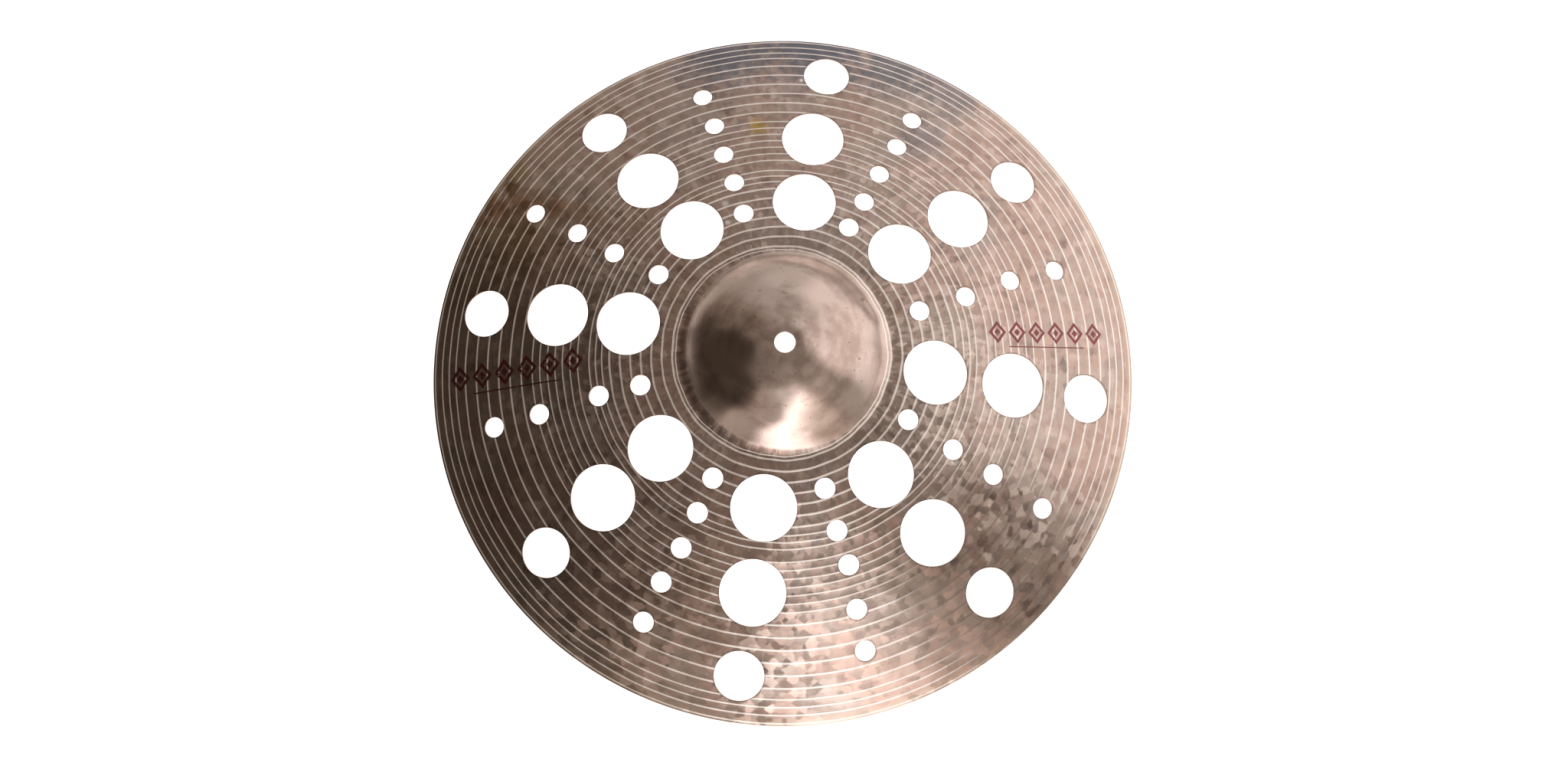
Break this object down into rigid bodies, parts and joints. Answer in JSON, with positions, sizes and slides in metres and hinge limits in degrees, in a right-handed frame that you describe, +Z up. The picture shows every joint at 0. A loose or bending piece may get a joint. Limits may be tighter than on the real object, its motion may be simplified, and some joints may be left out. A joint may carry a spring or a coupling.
{
  "type": "crash cymbal",
  "caption": "Thin round bronze crash cymbal: domed bell with a mounting hole, gently curved hammered bow, and lines of large and small vent holes.",
  "frame": {"origin": "centre of the rim's circle, in the plane that the rim rests on", "axes": "+Z up along the mounting hole's axis, out of the top of the bell; +X and +Y in the rim's plane"},
  "size_m": [0.432, 0.432, 0.0484],
  "materials": {
    "bronze": "raw cast bronze, hammered all over and turned with thin bright lathe lines; the bell burnished",
    "printed_mark": "thin dark red printed ink, slightly worn"
  },
  "bodies": {
    "root": {"cymbal_plate": "bronze"}
  },
  "joints": []
}
